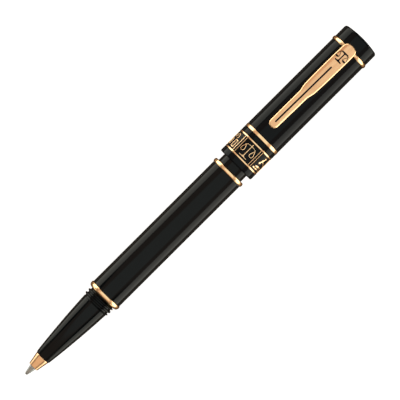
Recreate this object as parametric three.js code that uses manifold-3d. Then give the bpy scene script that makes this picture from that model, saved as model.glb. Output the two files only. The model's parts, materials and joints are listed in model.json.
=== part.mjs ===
// A capped rollerball pen with its cap posted on the tail, lying along X.
// Millimetres. +X runs from the writing point to the cap's finial, and +Z is up, on the clip's side.
// The origin is below the middle of the pen, on the plane it lies on.
import * as THREE from "three";
import { mergeVertices } from "three/addons/utils/BufferGeometryUtils.js";
import Module from "manifold-3d";

const wasm = await Module();
wasm.setup();

// ---------------------------------------------------------------- driving dimensions

const SIDES = 32; // flats round a turned piece
const SMALL_SIDES = 24; // flats round the refill's pieces
const TINY_SIDES = 16; // flats round the writing point and its ball
const GAP = 0.02; // between pieces clamped end to end
const FIT = 0.05; // radial gap between pieces fitted one in the other

const CAP_R = 7.55;
const CLIP_RING_R = 7.89; // the largest radius, so the pen lies on it
const CAP_MOUTH = 21;
const MOUTH_CORNER = 0.45;
const CAP_TOP = 85.02;
const DOME_SAG = 0.8;
const FINIAL_CORNER = 0.6;
const CLIP_RING = { from: 77.36, to: 78.94 };
const CAP_BORE = 6.25;
const LIP_END = 23.46;
// The bands stand on one seat, each from the end of the one before it.
const BAND_SEAT_R = 6.95;
const LOWER_RING = { end: 24.18, r: 7.6 };
const CENTRE_BAND = { end: 30.88, r: 7.58 };
const UPPER_RING = { end: 31.6, r: 7.6 };
const SPACER = { end: 33.64, r: 7.58 };
const UPPER_BAND = { end: 34.88, r: 7.61 };
const LINER = { from: 30.2, to: 74.5, outer: 6.2, bore: 5.66, wall: 2 };
const STUD_R = 2;
const STUD_END = 82.72;
const STUD_HEAD = { from: 71.2, to: 72.4, r: 3.6, slotDepth: 0.6, slotHalf: 0.5 };

const CLIP = {
  head: 80.5,
  headRound: 1.9, // length over which the head's corners are rounded
  headBend: 4, // length over which the head bends down
  headDrop: 0.75,
  tip: 39.25,
  tipDrop: 0.45,
  shoulder: 56.4,
  halfWide: 2.95,
  halfBulge: 3.05,
  halfNarrow: 2.1,
  halfTip: 2,
  under: 9.58, // height of the underside over the pen's axis
  thick: 1.05,
  straightFrom: 46,
  straightTo: 72.5,
  root: 8.05, // height of the underside where it stands over the clip ring
  footR: 1.5,
};
const TANG = { from: 79.2, to: 80.1, foot: 5, half: 1.9 };
const TANG_SLOT = { to: 80.4, half: 2.1, floor: 4.6 };

const BARREL_R = 6.49;
const BARREL_BORE = 5.45;
const BARREL_REAR = 16.5;
const BARREL_FRONT = -44.22;
const REAR_RING_R = 6.88;
const REAR_RING_END = 18.1;
const FRONT_RING_R = 6.82;
const FRONT_RING_END = -46.02;

const TAIL = { base: 5.56, end: 5.45, tip: 38.2, bore: 3.6, floor: 36.5, spigot: 4.8, spigotFrom: 6 };
const TAIL_CHAMFER = 0.9;
const GROOVE = { from: 32.8, to: 34.6, r: 4.75 };
const POSTING_RING_EDGE = 5.3;
const SPRING = { radius: 3, wire: 0.25, turns: 6 };

const THREAD = { from: -49.9, to: -46.3, crest: 5.76, root: 5.13, pitch: 1.5, runOut: 0.5 };
const SECTION_END = -76.42;
const SECTION_REAR_R = 5.28;
const SECTION_FRONT_R = 3.03;
const SECTION_BORE = { r: 3.3, from: -66, rearFrom: -52.3, throatFrom: -70, throat: 1.55 };
const NOSE = {
  from: -76.47, to: -81.2, rear: 2.82, front: 1.86, bore: 1.4, spigot: 2.1, spigotFrom: -72.8,
};
// The section's own screw goes into the bush in the barrel's mouth.
const SCREW = { from: -40, r: 4.65, sleeve: 4.2, sleeveTo: -52, bore: 3.35 };
const BUSH = { from: -38.5, bore: 4.75 };

const REFILL_R = 3.1;
const REFILL_WALL = 0.35;
const REFILL_REAR = 25.6;
const PLUG = { from: 20, neck: 2.7, head: 1.08 };
const COLLAR = { rear: -63, neckTo: -58, from: -75.5, bore: 1, nose: 1.3 };
const BALL_R = 0.35;
const BALL_X = -84.67;
const POINT = { r: 1.25, rear: -70.5, sleeve: 0.95, bore: 0.55, channel: 0.2, seat: 0.39, lip: 0.43 };
const RESERVOIR = { from: -54.8, to: 18, r: 2.6 };
const FEED = { from: -80.2, to: -55, r: 0.5 };

// ---------------------------------------------------------------- materials

const finish = (color, roughness, metalness) =>
  new THREE.MeshStandardMaterial({ color, roughness, metalness });
const resin = () => finish(0x141414, 0.18, 0);
const roseGold = () => finish(0xe3a878, 0.18, 1);
const brass = () => finish(0xc9a24e, 0.3, 1);
const steel = () => finish(0xa9aba8, 0.28, 1);
const blackPlastic = () => finish(0x202022, 0.5, 0);
const rubber = () => finish(0x181818, 0.85, 0);
const fibre = () => finish(0x1c2440, 0.95, 0);

// ---------------------------------------------------------------- making shapes

// A closed outline of [x, radius] points turned round the X axis.
// The flats lie outside the true circle and touch it, and four of them face +-Y and +-Z.
function turned(outline, sides = SIDES) {
  const grow = 1 / Math.cos(Math.PI / sides);
  const points = outline.map(([x, r]) => new THREE.Vector2(r * grow, x));
  const closed = points[0].x > 0;
  if (THREE.ShapeUtils.area(points) < 0) points.reverse();
  if (closed) points.push(points[0].clone());
  return new THREE.LatheGeometry(points, sides, Math.PI / sides).rotateZ(-Math.PI / 2);
}

// Points on an arc in the [x, radius] plane, angles in degrees from +X towards larger radius.
function arc(cx, cr, radius, start, end, steps) {
  return Array.from({ length: steps + 1 }, (_, i) => {
    const a = THREE.MathUtils.degToRad(start + ((end - start) * i) / steps);
    return [cx + radius * Math.cos(a), cr + radius * Math.sin(a)];
  });
}

// A plain sleeve with a bore.
const sleeve = (from, to, outer, bore, sides) =>
  turned([[from, bore], [to, bore], [to, outer], [from, outer]], sides);

// A ring whose outer skin is an arch that stands between two edge radii, with a flat land at its top.
function archedRing(from, to, top, fromEdge, toEdge, bore) {
  const flank = (to - from) * 0.31;
  const knee = 0.3; // where the flank turns over, as a share of its width
  const kneeR = (edge) => edge + (top - edge) * 0.7;
  return turned([
    [from, bore], [from, fromEdge], [from + flank * knee, kneeR(fromEdge)], [from + flank, top],
    [to - flank, top], [to - flank * knee, kneeR(toEdge)], [to, toEdge], [to, bore],
  ]);
}

function solid(geometry) {
  const bare = geometry.clone();
  bare.deleteAttribute("normal");
  bare.deleteAttribute("uv");
  const merged = mergeVertices(bare, 1e-4);
  return new wasm.Manifold(
    new wasm.Mesh({
      numProp: 3,
      vertProperties: merged.getAttribute("position").array,
      triVerts: new Uint32Array(merged.index.array),
    }),
  );
}

function geometryOf(manifold) {
  const mesh = manifold.getMesh();
  const geometry = new THREE.BufferGeometry();
  geometry.setAttribute("position", new THREE.BufferAttribute(mesh.vertProperties, 3));
  geometry.setIndex(new THREE.BufferAttribute(mesh.triVerts, 1));
  return geometry;
}

const block = (lowX, highX, lowY, highY, lowZ, highZ) =>
  new THREE.BoxGeometry(highX - lowX, highY - lowY, highZ - lowZ)
    .translate((lowX + highX) / 2, (lowY + highY) / 2, (lowZ + highZ) / 2);

const cut = (geometry, tool) => geometryOf(solid(geometry).subtract(solid(tool)));

// Raises a single-start screw ridge on the outer skin between two places.
function raiseThread(geometry, { from, to, crest, root, pitch, runOut }) {
  const position = geometry.getAttribute("position");
  for (let i = 0; i < position.count; i++) {
    const x = position.getX(i);
    const y = position.getY(i);
    const z = position.getZ(i);
    const r = Math.hypot(y, z);
    if (x < from || x > to || r < root) continue;
    const turn = x / pitch - Math.atan2(z, y) / (2 * Math.PI);
    const wave = Math.abs(2 * (turn - Math.floor(turn)) - 1);
    const flank = THREE.MathUtils.clamp(1.8 * wave - 0.4, 0, 1);
    const fade = THREE.MathUtils.clamp(Math.min(x - from, to - x) / runOut, 0, 1);
    const scale = 1 + ((crest - root) / root) * flank * fade;
    position.setXYZ(i, x, y * scale, z * scale);
  }
  return geometry;
}

// ---------------------------------------------------------------- cap

const domeRadius = (CAP_R ** 2 + DOME_SAG ** 2) / (2 * DOME_SAG);

function capFinial() {
  const low = CLIP_RING.to + GAP;
  const corner = CAP_TOP - DOME_SAG - FINIAL_CORNER;
  const inner = CAP_R - FINIAL_CORNER;
  const dome = (r) => [CAP_TOP - domeRadius + Math.sqrt(domeRadius ** 2 - r ** 2), r];
  const boreEnd = STUD_END + 0.3;
  const body = turned([
    [boreEnd, 0], [boreEnd, STUD_R + FIT], [low, STUD_R + FIT], [low, CAP_R], [corner, CAP_R],
    ...arc(corner + 0.15, inner, FINIAL_CORNER, 70, 30, 2),
    dome(inner - 0.3), dome(CAP_R * 0.6), dome(CAP_R * 0.3), [CAP_TOP, 0],
  ]);
  const slot = block(low - 1, TANG_SLOT.to, -TANG_SLOT.half, TANG_SLOT.half, TANG_SLOT.floor, CAP_R + 1);
  return cut(body, slot);
}

function finialScrew() {
  const { from, to, r, slotDepth, slotHalf } = STUD_HEAD;
  const outline = [[from, 0], [from, r], [to, r], [to, STUD_R], [STUD_END, STUD_R], [STUD_END, 0]];
  const body = turned(outline, SMALL_SIDES);
  return cut(body, block(from - 1, from + slotDepth, -r - 1, r + 1, -slotHalf, slotHalf));
}

const clipRing = () =>
  archedRing(CLIP_RING.from + GAP, CLIP_RING.to, CLIP_RING_R, CAP_R - 0.1, CAP_R - 0.1, STUD_R + FIT);

const capTube = () =>
  turned([
    [LIP_END + GAP, CAP_BORE], [LINER.to + FIT, CAP_BORE], [LINER.to + FIT, STUD_R + FIT],
    [CLIP_RING.from, STUD_R + FIT], [CLIP_RING.from, CAP_R],
    [UPPER_BAND.end + GAP, CAP_R], [UPPER_BAND.end + GAP, BAND_SEAT_R], [LIP_END + GAP, BAND_SEAT_R],
  ]);

const band = (from, { end, r }) => sleeve(from + GAP, end, r, BAND_SEAT_R + FIT);

// The black mouth ring, with the sleeve inside the tube. Its bore stands for the crests of the cap thread.
function capLip() {
  const sleeveEnd = LINER.from - 0.2;
  return turned([
    [CAP_MOUTH, LINER.bore + 0.5], [CAP_MOUTH + 0.5, LINER.bore], [sleeveEnd, LINER.bore],
    [sleeveEnd, LINER.outer], [LIP_END, LINER.outer], [LIP_END, CAP_R],
    ...arc(CAP_MOUTH + MOUTH_CORNER, CAP_R - MOUTH_CORNER, MOUTH_CORNER, 90, 180, 2),
  ]);
}

const capLiner = () =>
  turned([
    [LINER.from, LINER.bore], [LINER.to - LINER.wall, LINER.bore],
    [LINER.to - LINER.wall, STUD_R + FIT], [LINER.to, STUD_R + FIT],
    [LINER.to, LINER.outer], [LINER.from, LINER.outer],
  ]);

// ---------------------------------------------------------------- clip

// The clip seen from above: half its edge from the head to the tip, and the same mirrored.
function clipPlan() {
  const { head, headRound, tip, shoulder, halfWide, halfBulge, halfNarrow, halfTip } = CLIP;
  const bulgeX = 66;
  const half = new THREE.Path();
  half.moveTo(head, 0);
  half.lineTo(head, 1.1);
  half.bezierCurveTo(head, 2.3, head - headRound * 0.4, halfWide - 0.1, head - headRound, halfWide);
  half.quadraticCurveTo(bulgeX, 2 * halfBulge - halfWide, shoulder + 1.6, halfWide);
  half.bezierCurveTo(
    shoulder + 0.4, halfWide - 0.2, shoulder + 0.2, halfNarrow + 0.1, shoulder - 0.9, halfNarrow);
  half.lineTo(tip + halfTip, halfTip);
  half.absarc(tip + halfTip, 0, halfTip, Math.PI / 2, Math.PI, false);
  const edge = half.getPoints(6);
  const mirrored = edge.slice(1, -1).reverse().map((point) => new THREE.Vector2(point.x, -point.y));
  const shape = new THREE.Shape([...edge, ...mirrored]);
  return new THREE.ExtrudeGeometry(shape, { depth: 8, bevelEnabled: false }).translate(0, 0, 4);
}

// The clip seen from the side: a strip of even thickness that grows into a block over the clip ring.
function clipSide() {
  const { head, headBend, headDrop, tip, tipDrop, under, thick, straightFrom, straightTo, root } = CLIP;
  const top = under + thick;
  const shape = new THREE.Shape();
  shape.moveTo(tip - 1, under - 0.25);
  shape.quadraticCurveTo(tip + 3, under - 0.1, straightFrom, under);
  shape.lineTo(straightTo, under);
  shape.bezierCurveTo(straightTo + 2, under, CLIP_RING.from - 2, root, CLIP_RING.from, root);
  shape.lineTo(head + 1, root);
  shape.lineTo(head + 1, top - headDrop);
  shape.lineTo(head, top - headDrop);
  shape.quadraticCurveTo(head - headBend / 2, top, head - headBend, top);
  shape.lineTo(straightFrom, top);
  shape.quadraticCurveTo(tip + 3, top - 0.1, tip - 1, top - tipDrop);
  return new THREE.ExtrudeGeometry(shape, { depth: 8, bevelEnabled: false, curveSegments: 6 })
    .translate(0, 0, -4)
    .rotateX(Math.PI / 2);
}

// The rounded foot under the tip, cut off inside the clip's thickness.
function clipFoot() {
  const x = CLIP.tip + CLIP.halfTip + 0.4;
  const middle = CLIP.under + CLIP.thick / 2;
  const ball = new THREE.SphereGeometry(CLIP.footR, 16, 10)
    .scale(1, 1, (CLIP.under - CAP_R) / CLIP.footR)
    .translate(x, 0, CLIP.under + FIT);
  const above = block(x - 3, x + 3, -3, 3, middle, middle + 3);
  return solid(ball).subtract(solid(above));
}

function clip() {
  const tang = solid(block(TANG.from, TANG.to, -TANG.half, TANG.half, TANG.foot, CLIP.root + 0.3));
  return geometryOf(solid(clipPlan()).intersect(solid(clipSide())).add(clipFoot()).add(tang));
}

// ---------------------------------------------------------------- barrel

const barrelTube = () =>
  turned([
    [BARREL_FRONT + GAP, BARREL_BORE], [TAIL.spigotFrom - 0.6, BARREL_BORE],
    [TAIL.spigotFrom, TAIL.spigot + FIT], [BARREL_REAR, TAIL.spigot + FIT],
    [BARREL_REAR, BARREL_R], [BARREL_FRONT + GAP, BARREL_R],
  ]);

const rearRing = () =>
  archedRing(
    BARREL_REAR + GAP, REAR_RING_END, REAR_RING_R, BARREL_R - 0.05, BARREL_R - 0.35, TAIL.spigot + FIT);

function barrelTail() {
  const taper = (x) =>
    TAIL.base + ((TAIL.end - TAIL.base) * (x - REAR_RING_END)) / (TAIL.tip - REAR_RING_END);
  return turned([
    [TAIL.spigotFrom, TAIL.bore], [TAIL.floor, TAIL.bore], [TAIL.floor, 0], [TAIL.tip, 0],
    [TAIL.tip, TAIL.end - TAIL_CHAMFER], [TAIL.tip - TAIL_CHAMFER, taper(TAIL.tip - TAIL_CHAMFER)],
    [GROOVE.to, taper(GROOVE.to)], [GROOVE.to, GROOVE.r], [GROOVE.from, GROOVE.r],
    [GROOVE.from, taper(GROOVE.from)], [REAR_RING_END + GAP, TAIL.base],
    [REAR_RING_END + GAP, TAIL.spigot], [TAIL.spigotFrom, TAIL.spigot],
  ]);
}

const frontRing = () =>
  archedRing(
    FRONT_RING_END, BARREL_FRONT, FRONT_RING_R, BARREL_R - 0.6, BARREL_R - 0.05, BARREL_BORE + 0.15);

const barrelBush = () =>
  turned([
    [FRONT_RING_END + 0.1, BUSH.bore], [BUSH.from, BUSH.bore], [BUSH.from, BARREL_BORE - FIT],
    [BARREL_FRONT, BARREL_BORE - FIT], [BARREL_FRONT, BARREL_BORE + 0.1],
    [FRONT_RING_END + 0.1, BARREL_BORE + 0.1],
  ]);

function postingRing() {
  const edge = POSTING_RING_EDGE;
  return archedRing(GROOVE.from + 0.1, GROOVE.to - 0.1, LINER.bore - 0.06, edge, edge, GROOVE.r + FIT);
}

// A compression spring: an open coil between two closed end turns.
class Coil extends THREE.Curve {
  constructor(from, to, { radius, wire, turns }) {
    super();
    const ease = (1.1 * 2 * wire) / (to - from); // the closed turns' share of the length
    Object.assign(this, { from: from + wire, to: to - wire, radius, turns, ease });
  }
  getPoint(t, target = new THREE.Vector3()) {
    const end = 1 / this.turns;
    const along = THREE.MathUtils.mapLinear(t, end, 1 - end, this.ease, 1 - this.ease);
    const first = (this.ease * t) / end;
    const last = 1 - (this.ease * (1 - t)) / end;
    const s = t < end ? first : t > 1 - end ? last : along;
    const angle = 2 * Math.PI * this.turns * t;
    const x = THREE.MathUtils.lerp(this.from, this.to, s);
    return target.set(x, this.radius * Math.cos(angle), this.radius * Math.sin(angle));
  }
}

function refillSpring() {
  const section = new THREE.Shape();
  section.absarc(0, 0, SPRING.wire, 0, 2 * Math.PI, false);
  const extrudePath = new Coil(REFILL_REAR + 0.1, TAIL.floor - 0.1, SPRING);
  const steps = 14 * SPRING.turns;
  const sweep = { extrudePath, steps, curveSegments: 3, bevelEnabled: false };
  return new THREE.ExtrudeGeometry(section, sweep);
}

// ---------------------------------------------------------------- section

// The grip narrows in a slightly convex sweep from behind the thread to the nose.
function gripRadius(x) {
  const t = (THREAD.from - x) / (THREAD.from - SECTION_END);
  return SECTION_REAR_R - (SECTION_REAR_R - SECTION_FRONT_R) * (0.57 * t + 0.43 * t * t);
}

function gripSection() {
  const grip = Array.from({ length: 9 }, (_, i) => {
    const x = THREE.MathUtils.lerp(SECTION_END + 0.4, THREAD.from, i / 8);
    return [x, gripRadius(x)];
  });
  const threadRings = 26;
  const threaded = Array.from({ length: threadRings - 1 }, (_, i) => [
    THREE.MathUtils.lerp(THREAD.from, THREAD.to, (i + 2) / (threadRings + 1)), THREAD.root,
  ]);
  const rear = FRONT_RING_END - FIT;
  const rearBore = SCREW.sleeve + FIT;
  const { r, from, rearFrom, throatFrom, throat } = SECTION_BORE;
  return raiseThread(turned([
    [rear, THREAD.root], [rear, rearBore], [rearFrom, rearBore], [rearFrom - 0.2, r], [from, r],
    [throatFrom, throat], [NOSE.spigotFrom + 0.1, throat], [NOSE.spigotFrom + 0.1, NOSE.spigot + FIT],
    [SECTION_END, NOSE.spigot + FIT], [SECTION_END, SECTION_FRONT_R - 0.35], ...grip,
    [THREAD.from + FIT, THREAD.root], ...threaded,
  ]), THREAD);
}

function noseCone() {
  const { from, to, rear, front, bore, spigot, spigotFrom } = NOSE;
  const edge = 0.12;
  return turned([
    [spigotFrom, bore], [to, bore], [to, front - edge], [to + edge, front],
    [from - edge, rear], [from, rear - edge], [from, spigot], [spigotFrom, spigot],
  ]);
}

function sectionBush() {
  const { from, r, sleeve: sleeveR, sleeveTo, bore } = SCREW;
  return turned([
    [from, bore], [sleeveTo, bore], [sleeveTo, sleeveR], [FRONT_RING_END, sleeveR],
    [FRONT_RING_END, r], [from - 0.3, r], [from, r - 0.3],
  ]);
}

// ---------------------------------------------------------------- refill

const refillTube = () =>
  sleeve(COLLAR.rear + GAP, REFILL_REAR - 1.1, REFILL_R, REFILL_R - REFILL_WALL, SMALL_SIDES);

function refillPlug() {
  const step = REFILL_REAR - PLUG.head;
  return turned([
    [PLUG.from, 0], [PLUG.from, PLUG.neck], [step, PLUG.neck], [step, REFILL_R],
    [REFILL_REAR, REFILL_R], [REFILL_REAR, 0],
  ], SMALL_SIDES);
}

// The holder steps in from the tube's thickness to a long nose.
function refillCollar() {
  const { rear, neckTo, from, bore, nose } = COLLAR;
  return turned([
    [from, bore], [neckTo, bore], [neckTo, PLUG.neck], [rear, PLUG.neck], [rear, REFILL_R],
    [rear - 2.6, REFILL_R], [rear - 3.4, 2.8], [rear - 6.7, nose], [from, nose],
  ], SMALL_SIDES);
}

// The metal point: a cone with the ball's seat at its tip and an ink channel behind.
function refillPoint() {
  const { r, rear, sleeve: sleeveR, bore, channel, seat, lip } = POINT;
  const rim = BALL_X - 0.13;
  const behindBall = BALL_X + BALL_R + 0.15;
  const cone = BALL_X + 3.15;
  const step = COLLAR.from - 0.1;
  return turned([
    [rear, bore], [FEED.from - 0.1, bore], [FEED.from - 0.5, channel], [behindBall, channel],
    [behindBall - 0.2, seat], [BALL_X, seat], [rim, 0.336], [rim, lip], [BALL_X + 0.05, 0.5],
    [cone, r - 0.05], [cone + 0.2, r], [step, r], [step, sleeveR], [rear, sleeveR],
  ], TINY_SIDES);
}

const rod = ({ from, to, r }) => turned([[from, 0], [from, r], [to, r], [to, 0]], TINY_SIDES);

const writingBall = () =>
  new THREE.SphereGeometry(BALL_R, TINY_SIDES, 12).rotateZ(Math.PI / 2).translate(BALL_X, 0, 0);

// ---------------------------------------------------------------- assembly

function assembly(name, parts) {
  const group = new THREE.Group();
  group.name = name;
  for (const [node, geometry, material] of parts) {
    const mesh = new THREE.Mesh(geometry, material);
    mesh.name = node;
    group.add(mesh);
  }
  return group;
}

const pen = new THREE.Group();
pen.position.z = CLIP_RING_R;
pen.add(
  assembly("cap_assembly", [
    ["cap_finial", capFinial(), resin()],
    ["finial_screw", finialScrew(), brass()],
    ["clip_ring", clipRing(), roseGold()],
    ["cap_tube", capTube(), resin()],
    ["cap_band_upper", band(SPACER.end, UPPER_BAND), roseGold()],
    ["cap_spacer", band(UPPER_RING.end, SPACER), resin()],
    ["band_ring_upper", band(CENTRE_BAND.end, UPPER_RING), roseGold()],
    ["centre_band", band(LOWER_RING.end, CENTRE_BAND), roseGold()],
    ["band_ring_lower", band(LIP_END, LOWER_RING), roseGold()],
    ["cap_lip", capLip(), resin()],
    ["cap_liner", capLiner(), blackPlastic()],
    ["clip", clip(), roseGold()],
  ]),
  assembly("barrel_assembly", [
    ["posting_ring", postingRing(), rubber()],
    ["barrel_tube", barrelTube(), resin()],
    ["barrel_rear_ring", rearRing(), roseGold()],
    ["barrel_tail", barrelTail(), resin()],
    ["barrel_front_ring", frontRing(), roseGold()],
    ["barrel_bush", barrelBush(), brass()],
    ["refill_spring", refillSpring(), steel()],
  ]),
  assembly("section_assembly", [
    ["grip_section", gripSection(), resin()],
    ["nose_cone", noseCone(), roseGold()],
    ["section_bush", sectionBush(), brass()],
  ]),
  assembly("refill_assembly", [
    ["refill_tube", refillTube(), steel()],
    ["refill_plug", refillPlug(), blackPlastic()],
    ["refill_collar", refillCollar(), blackPlastic()],
    ["refill_point", refillPoint(), steel()],
    ["refill_feed", rod(FEED), fibre()],
    ["ink_reservoir", rod(RESERVOIR), fibre()],
    ["writing_ball", writingBall(), steel()],
  ]),
);

export default pen;
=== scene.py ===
"""A capped rollerball pen with its cap posted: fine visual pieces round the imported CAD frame.

Lengths in this file are millimetres until a mesh is made. Places come from the CAD nodes' boxes:
x runs along the pen towards the cap's finial, and r is the distance from the pen's axis.
"""
import json
import math

import bmesh
import bpy
import numpy as np
from mathutils import Matrix, Vector

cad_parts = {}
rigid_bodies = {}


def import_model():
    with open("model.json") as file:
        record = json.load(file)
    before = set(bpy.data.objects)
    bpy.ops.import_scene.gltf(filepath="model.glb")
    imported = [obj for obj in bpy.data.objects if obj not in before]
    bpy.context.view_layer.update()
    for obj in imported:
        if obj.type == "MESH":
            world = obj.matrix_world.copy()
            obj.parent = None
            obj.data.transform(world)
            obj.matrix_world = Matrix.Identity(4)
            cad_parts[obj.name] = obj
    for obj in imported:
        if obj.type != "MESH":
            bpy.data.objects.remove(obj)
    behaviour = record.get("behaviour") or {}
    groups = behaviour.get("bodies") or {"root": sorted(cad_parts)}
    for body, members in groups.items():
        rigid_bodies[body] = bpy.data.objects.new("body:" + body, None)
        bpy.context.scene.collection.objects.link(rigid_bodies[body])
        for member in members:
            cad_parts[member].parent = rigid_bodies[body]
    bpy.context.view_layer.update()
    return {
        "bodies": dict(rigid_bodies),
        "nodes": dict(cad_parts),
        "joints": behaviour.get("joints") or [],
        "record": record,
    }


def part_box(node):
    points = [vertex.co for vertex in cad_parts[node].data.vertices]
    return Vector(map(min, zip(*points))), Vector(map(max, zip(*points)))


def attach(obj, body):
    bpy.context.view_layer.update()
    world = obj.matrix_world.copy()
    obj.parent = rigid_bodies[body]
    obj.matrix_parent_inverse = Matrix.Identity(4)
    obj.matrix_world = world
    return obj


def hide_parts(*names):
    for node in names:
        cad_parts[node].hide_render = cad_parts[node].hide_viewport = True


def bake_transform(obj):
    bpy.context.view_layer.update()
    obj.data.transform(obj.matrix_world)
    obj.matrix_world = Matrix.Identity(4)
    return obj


MM = 0.001
SIDES = 144  # flats round a turned piece
SMALL_SIDES = 72  # flats round the refill's pieces
SMOOTH_UNDER = math.radians(34)

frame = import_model()


# ---------------- places from the frame


def span(node):
    """A turned node's two ends along the pen and its outer radius."""
    low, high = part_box(node)
    return low.x / MM, high.x / MM, (high.y - low.y) / 2 / MM


AXIS_Z = sum(corner.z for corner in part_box("clip_ring")) / 2 / MM


# ---------------- mesh making


def linked(name, data):
    """An object with this data, in the scene."""
    made = bpy.data.objects.new(name, data)
    bpy.context.scene.collection.objects.link(made)
    return made


def mesh_object(name, vertices, faces, material, bevel=0):
    """An object from points in millimetres about the pen's axis, with its faces turned outwards."""
    mesh = bpy.data.meshes.new(name)
    placed = (np.asarray(vertices, float) + (0, 0, AXIS_Z)) * MM
    mesh.from_pydata(placed.tolist(), [], faces)
    shape = bmesh.new()
    shape.from_mesh(mesh)
    bmesh.ops.recalc_face_normals(shape, faces=shape.faces)
    if bevel:
        edges = shape.edges[:]
        bmesh.ops.bevel(shape, geom=edges, offset=bevel * MM, segments=3, profile=0.5, affect="EDGES")
    shape.to_mesh(mesh)
    shape.free()
    mesh.shade_smooth()
    mesh.set_sharp_from_angle(angle=SMOOTH_UNDER)
    mesh.materials.append(material)
    return linked(name, mesh)


def joined(name, parts, material):
    """One object from several (vertices, faces) lists."""
    vertices, faces = [], []
    for points, polygons in parts:
        faces.extend([i + len(vertices) for i in polygon] for polygon in polygons)
        vertices.extend(points)
    return mesh_object(name, vertices, faces, material)


def place(piece, body, node):
    """Rides on a body, in place of a CAD node if there is one to replace."""
    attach(piece, body)
    if node:
        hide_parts(node)


def box(low, high):
    """The corners and the sides of a box between two opposite corners."""
    corners = [(x, y, z) for x in (low[0], high[0]) for y in (low[1], high[1]) for z in (low[2], high[2])]
    sides = [(0, 1, 3, 2), (4, 5, 7, 6), (0, 1, 5, 4), (2, 3, 7, 6), (0, 2, 6, 4), (1, 3, 7, 5)]
    return corners, sides


def quads_between(rings, around):
    """Quads that join each ring of points to the next one."""
    faces = []
    for a in range(0, (rings - 1) * around, around):
        b = a + around
        faces += [(a + k, a + (k + 1) % around, b + (k + 1) % around, b + k) for k in range(around)]
    return faces


def tube_faces(rings, around, closed=False):
    """The skin over a row of rings, whose two end rings are capped or, if it is closed, joined."""
    first, last = range(around), range((rings - 1) * around, rings * around)
    if closed:
        ends = [(last[k - 1], last[k], first[k], first[k - 1]) for k in first]
    else:
        ends = [tuple(first), tuple(last)]
    return quads_between(rings, around) + ends


def dome_faces(rings, around):
    """The skin over a row of rings and the one point after them. The first ring is capped."""
    last, top = (rings - 1) * around, rings * around
    fan = [(last + k, last + (k + 1) % around, top) for k in range(around)]
    return quads_between(rings, around) + fan + [tuple(range(around))]


def slab(a, b, width):
    """The outline of a straight stroke with square ends."""
    a, b = np.array(a, float), np.array(b, float)
    along = (b - a) / np.linalg.norm(b - a)
    across = np.array([-along[1], along[0]]) * width / 2
    return [tuple(p) for p in (a - across, b - across, b + across, a + across)]


# ---------------- turned pieces


def softened(corners):
    """Rounds an outline's corners: each is (x, r) for a sharp one or (x, r, size) for a rounded one."""
    points, steps = [], 4
    count = len(corners)
    for i, corner in enumerate(corners):
        here = np.array(corner[:2], float)
        if len(corner) == 2:
            points.append(tuple(here))
            continue
        before = np.array(corners[i - 1][:2], float) - here
        after = np.array(corners[(i + 1) % count][:2], float) - here
        reach = min(corner[2], 0.48 * np.linalg.norm(before), 0.48 * np.linalg.norm(after))
        start = here + before / np.linalg.norm(before) * reach
        end = here + after / np.linalg.norm(after) * reach
        for k in range(steps + 1):
            t = k / steps
            points.append(tuple(start * (1 - t) ** 2 + 2 * here * t * (1 - t) + end * t * t))
    return points


def turned_mesh(outline, sides):
    """Points and faces of a closed (x, r) outline turned round the axis."""
    angles = np.arange(sides) * 2 * math.pi / sides
    ring = np.stack([np.zeros(sides), np.sin(angles), np.cos(angles)], 1)
    vertices, first = [], []
    for x, r in outline:
        first.append((len(vertices), r > 1e-9))
        vertices.extend(ring * r + (x, 0, 0) if r > 1e-9 else [(x, 0, 0)])
    on_axis = outline[0][1] <= 1e-9 and outline[-1][1] <= 1e-9
    pairs = list(zip(first, first[1:])) + ([] if on_axis else [(first[-1], first[0])])
    faces = []
    for (a, wide_a), (b, wide_b) in pairs:
        for k in range(sides):
            n = (k + 1) % sides
            corners = ([a + k, a + n] if wide_a else [a]) + ([b + n, b + k] if wide_b else [b])
            if len(corners) > 2:
                faces.append(corners)
    return vertices, faces


def turned(name, corners, material, sides=SIDES, displace=None):
    """A turned piece from its outline's corners. Displace may move its points."""
    vertices, faces = turned_mesh(softened(corners), sides)
    if displace:
        vertices = displace(np.asarray(vertices, float))
    return mesh_object(name, vertices, faces, material)


def smoothstep(t):
    t = np.clip(t, 0, 1)
    return t * t * (3 - 2 * t)


def screw_thread(low, high, root, crest, pitch, run_out, ahead=0.0):
    """A displacement that raises a right-handed screw ridge between two places along the axis.

    It moves only points at the root radius or beyond it, or for a nut, where crest is under root,
    only points at the root radius or inside it.
    """
    sharpness = 1.8

    def displace(points):
        r = np.hypot(points[:, 1], points[:, 2])
        turns = (points[:, 0] + ahead) / pitch - np.arctan2(points[:, 2], points[:, 1]) / (2 * math.pi)
        wave = np.abs(2 * (turns - np.floor(turns)) - 1)
        ridge = smoothstep(sharpness * (wave - 0.5) + 0.5)
        fade = np.clip(np.minimum(points[:, 0] - low, high - points[:, 0]) / run_out, 0, 1)
        side = r - root if crest > root else root - r
        skin = (side > -1e-4) & (side < abs(crest - root) + 0.05)
        grow = np.where(skin, (crest - root) / root * ridge * fade, 0)
        points[:, 1:] *= (1 + grow)[:, None]
        return points
    return displace


def even_steps(start, end, r, spacing):
    """Points along a line of constant radius, close enough together to carry a thread."""
    count = max(2, round(abs(end - start) / spacing))
    return [(start + (end - start) * k / count, r) for k in range(count + 1)]


# ---------------- materials


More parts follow.
